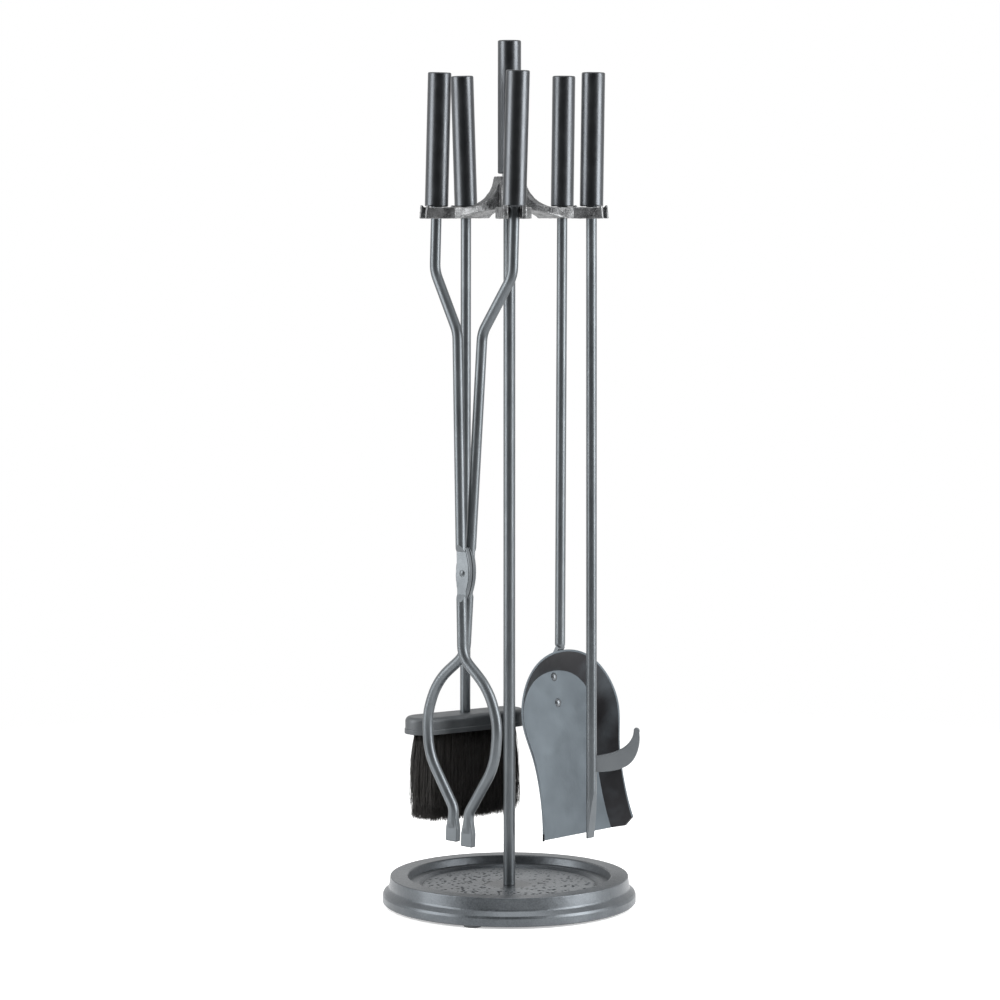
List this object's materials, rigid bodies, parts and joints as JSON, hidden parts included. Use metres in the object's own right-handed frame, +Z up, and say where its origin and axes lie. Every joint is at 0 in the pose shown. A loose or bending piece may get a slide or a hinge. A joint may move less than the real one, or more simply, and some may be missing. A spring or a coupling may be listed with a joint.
{
  "type": "fireplace tool set",
  "caption": "Free-standing fireplace tool set: round cast base, post with a forked holder, and a hanging poker, shovel, brush and tongs with tubular grips.",
  "frame": {"origin": "on the floor, on the axis of the post", "axes": "+Z up along the post; -Y is the front, the side of the fork that points straight at the viewer; +X to the viewer's right, towards the poker"},
  "size_m": [0.2321, 0.23, 0.7778],
  "materials": {
    "base_paint": "satin graphite paint on cast iron, pebbled in the bowl",
    "holder_cast": "rough grey casting with a thin graphite coat",
    "rod_paint": "satin graphite powder coat",
    "pan_paint": "satin graphite powder coat on sheet steel",
    "grip_paint": "smooth satin gunmetal",
    "brush_paint": "matt graphite paint",
    "bristles": "black fibre bristles",
    "fastener_steel": "plain zinc-plated steel",
    "foot_rubber": "matt black rubber"
  },
  "bodies": {
    "stand": {"base_casting": "base_paint", "foot_pads": "foot_rubber", "base_bolt": "fastener_steel", "base_washer": "fastener_steel", "post_rod": "rod_paint", "holder_casting": "holder_cast", "holder_stud": "fastener_steel", "lock_nut": "fastener_steel", "stand_grip_sleeve": "grip_paint", "stand_grip_plug": "grip_paint", "stand_grip_collar": "fastener_steel"},
    "poker": {"poker_rod": "rod_paint", "poker_hook": "rod_paint", "poker_grip_sleeve": "grip_paint", "poker_grip_plug": "grip_paint", "poker_grip_collar": "fastener_steel"},
    "shovel": {"shovel_rod": "rod_paint", "shovel_pan": "pan_paint", "pan_rivets": "rod_paint", "shovel_grip_sleeve": "grip_paint", "shovel_grip_plug": "grip_paint", "shovel_grip_collar": "fastener_steel"},
    "brush": {"brush_rod": "rod_paint", "brush_head": "brush_paint", "brush_bristles": "bristles", "brush_grip_sleeve": "grip_paint", "brush_grip_plug": "grip_paint", "brush_grip_collar": "fastener_steel"},
    "tongs_left": {"tongs_left_arm": "rod_paint", "pivot_rivet": "rod_paint", "pivot_washer": "rod_paint", "tongs_left_grip_sleeve": "grip_paint", "tongs_left_grip_plug": "grip_paint", "tongs_left_grip_collar": "fastener_steel"},
    "tongs_right": {"tongs_right_arm": "rod_paint", "tongs_right_grip_sleeve": "grip_paint", "tongs_right_grip_plug": "grip_paint", "tongs_right_grip_collar": "fastener_steel"}
  },
  "joints": [
    {"name": "poker_lift", "type": "slide", "parent": "stand", "child": "poker", "axis": [0.676, -0.2074, 0.7071], "range_m": [0, 0.18]},
    {"name": "shovel_lift", "type": "slide", "parent": "stand", "child": "shovel", "axis": [0.4403, 0.5533, 0.7071], "range_m": [0, 0.18]},
    {"name": "brush_lift", "type": "slide", "parent": "stand", "child": "brush", "axis": [-0.3884, 0.5909, 0.7071], "range_m": [0, 0.18]},
    {"name": "tongs_lift", "type": "slide", "parent": "stand", "child": "tongs_left", "axis": [-0.6684, -0.2307, 0.7071], "range_m": [0, 0.18]},
    {"name": "tongs_open", "type": "hinge", "parent": "tongs_left", "child": "tongs_right", "pos_m": [-0.03869, -0.04158, 0.30617], "axis": [0.5955, 0.8034, 0], "range_deg": [0, 30]}
  ],
  "couplings": [
    {"joint": "tongs_open", "follows": "tongs_lift", "rad_per_m": 2.7322}
  ]
}
